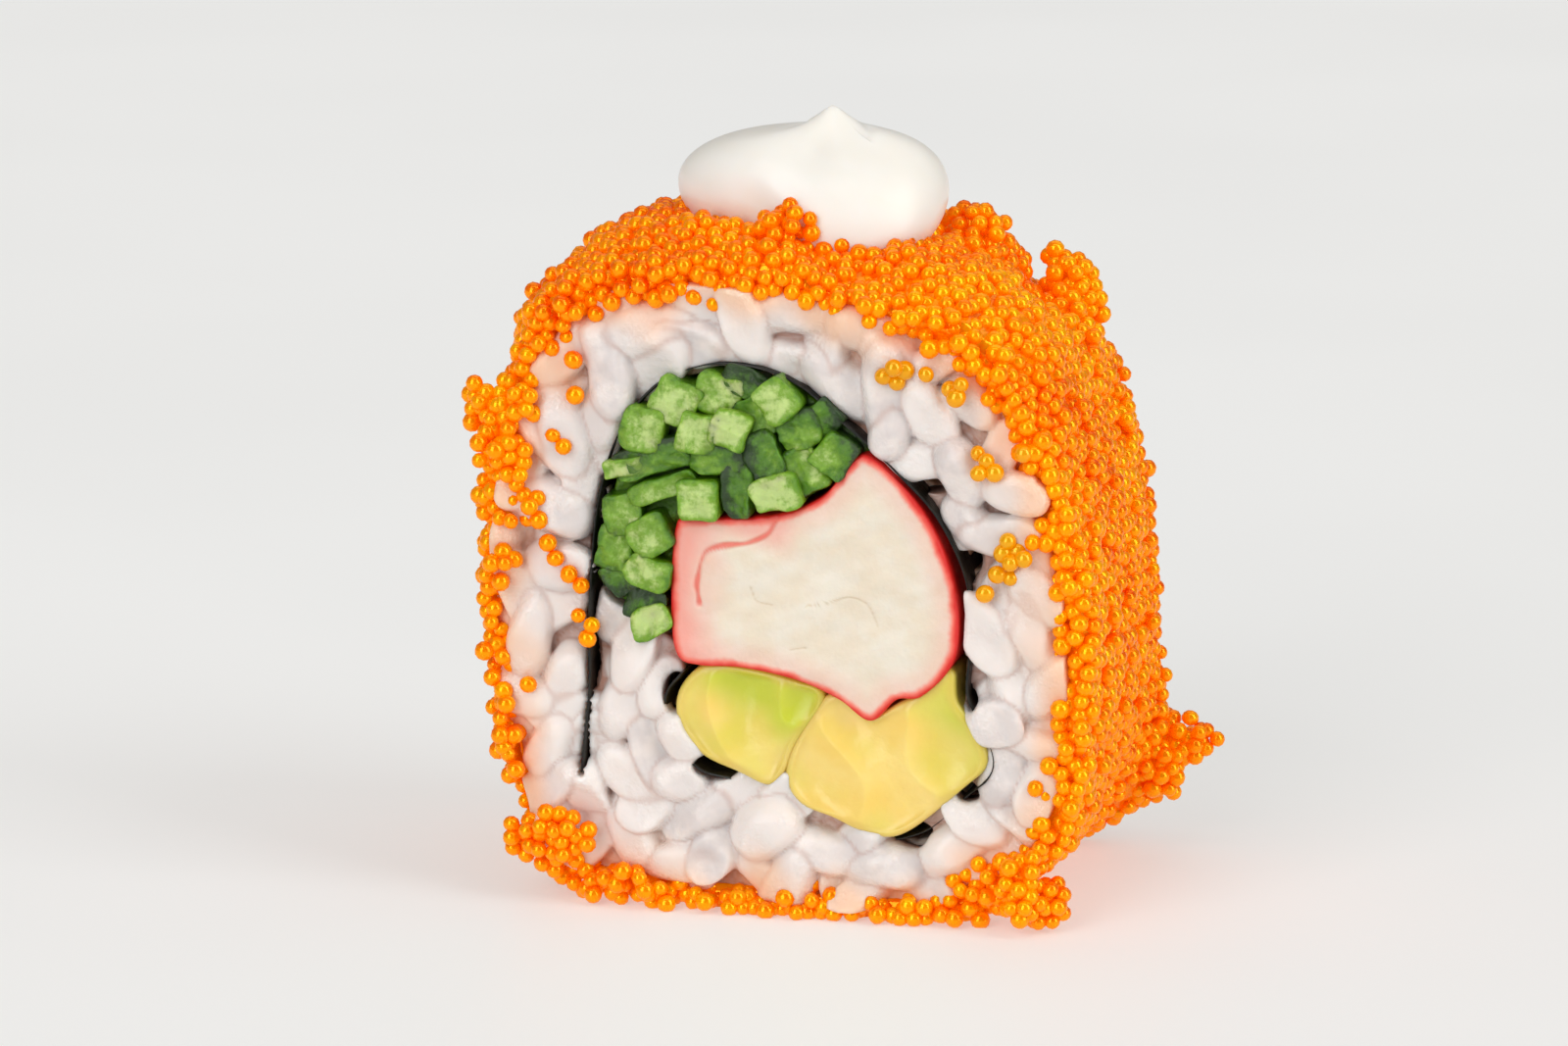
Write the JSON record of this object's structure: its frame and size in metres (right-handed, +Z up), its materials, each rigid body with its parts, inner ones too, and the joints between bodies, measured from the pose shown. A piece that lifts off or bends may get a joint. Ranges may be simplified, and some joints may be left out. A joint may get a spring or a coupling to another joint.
{
  "type": "uramaki roll",
  "caption": "Cut piece of an inside-out rice roll on its side, coated in fish roe, filled with cucumber, crab stick and avocado in a nori spiral, with a dollop of cream on top.",
  "frame": {"origin": "middle of the resting side, at the height of the surface that the roll lies on", "axes": "+Y along the roll's axis, from the front cut face to the back one; +Z up, towards the cream; +X to the right as seen facing the front cut face"},
  "size_m": [0.0454, 0.0258, 0.0514],
  "materials": {
    "roe": "wet, translucent orange fish roe",
    "rice": "cooked short-grain rice, moist and slightly translucent",
    "nori": "damp dried seaweed, near black",
    "cucumber": "wet cut cucumber flesh with dark green skin",
    "crab_stick": "creamy white fish paste with a thin red skin",
    "avocado": "soft ripe flesh, yellow to light green, slightly oily",
    "cream": "smooth glossy white cream"
  },
  "bodies": {
    "root": {"roe_coat": "roe", "rice": "rice", "nori": "nori", "cucumber": "cucumber", "crab_stick": "crab_stick", "avocado_left": "avocado", "avocado_right": "avocado", "cream": "cream"}
  },
  "joints": []
}
